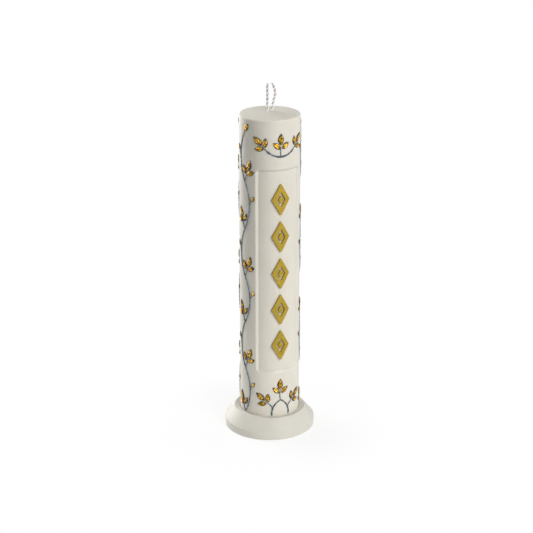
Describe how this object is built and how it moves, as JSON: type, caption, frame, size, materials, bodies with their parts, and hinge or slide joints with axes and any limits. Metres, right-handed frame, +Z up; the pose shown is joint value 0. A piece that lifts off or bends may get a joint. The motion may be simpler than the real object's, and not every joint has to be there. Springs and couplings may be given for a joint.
{
  "type": "pillar candle on a round base",
  "caption": "Tall round wax pillar candle with twin wicks, a sunken panel of gilt lozenges and raised vines, lifting out of a low round base with a socket.",
  "frame": {"origin": "centre of the base's underside", "axes": "+Z up along the candle's axis, -Y out of the sunken panel, +X to the right of someone facing it"},
  "size_m": [0.0684, 0.0684, 0.2685],
  "materials": {
    "wax": "poured and polished ivory wax, satin",
    "base_stone": "turned off-white body, satin",
    "wick_cotton": "twisted undyed cotton",
    "tinplate": "bright tinplate",
    "gilt": "burnished gilt on raised wax",
    "slate_paint": "slate-blue paint on raised wax"
  },
  "bodies": {
    "base": {"base": "base_stone"},
    "candle": {"candle_body": "wax", "lyre_leaves": "gilt", "lyre_stem": "slate_paint", "panel_lozenge_1": "gilt", "panel_lozenge_2": "gilt", "panel_lozenge_3": "gilt", "panel_lozenge_4": "gilt", "panel_lozenge_5": "gilt", "panel_stud_1": "gilt", "panel_stud_2": "gilt", "panel_stud_3": "gilt", "panel_stud_4": "gilt", "panel_stud_5": "gilt", "swag_leaves": "gilt", "swag_stem": "slate_paint", "vine_leaves_1": "gilt", "vine_leaves_2": "gilt", "vine_leaves_3": "gilt", "vine_leaves_4": "gilt", "vine_leaves_5": "gilt", "vine_stem_1": "slate_paint", "vine_stem_2": "slate_paint", "vine_stem_3": "slate_paint", "vine_stem_4": "slate_paint", "vine_stem_5": "slate_paint", "wick_left": "wick_cotton", "wick_right": "wick_cotton", "wick_sustainer": "tinplate"}
  },
  "joints": [
    {"name": "candle_lift", "type": "slide", "parent": "base", "child": "candle", "axis": [0, 0, 1], "range_m": [0, 0.03]}
  ]
}
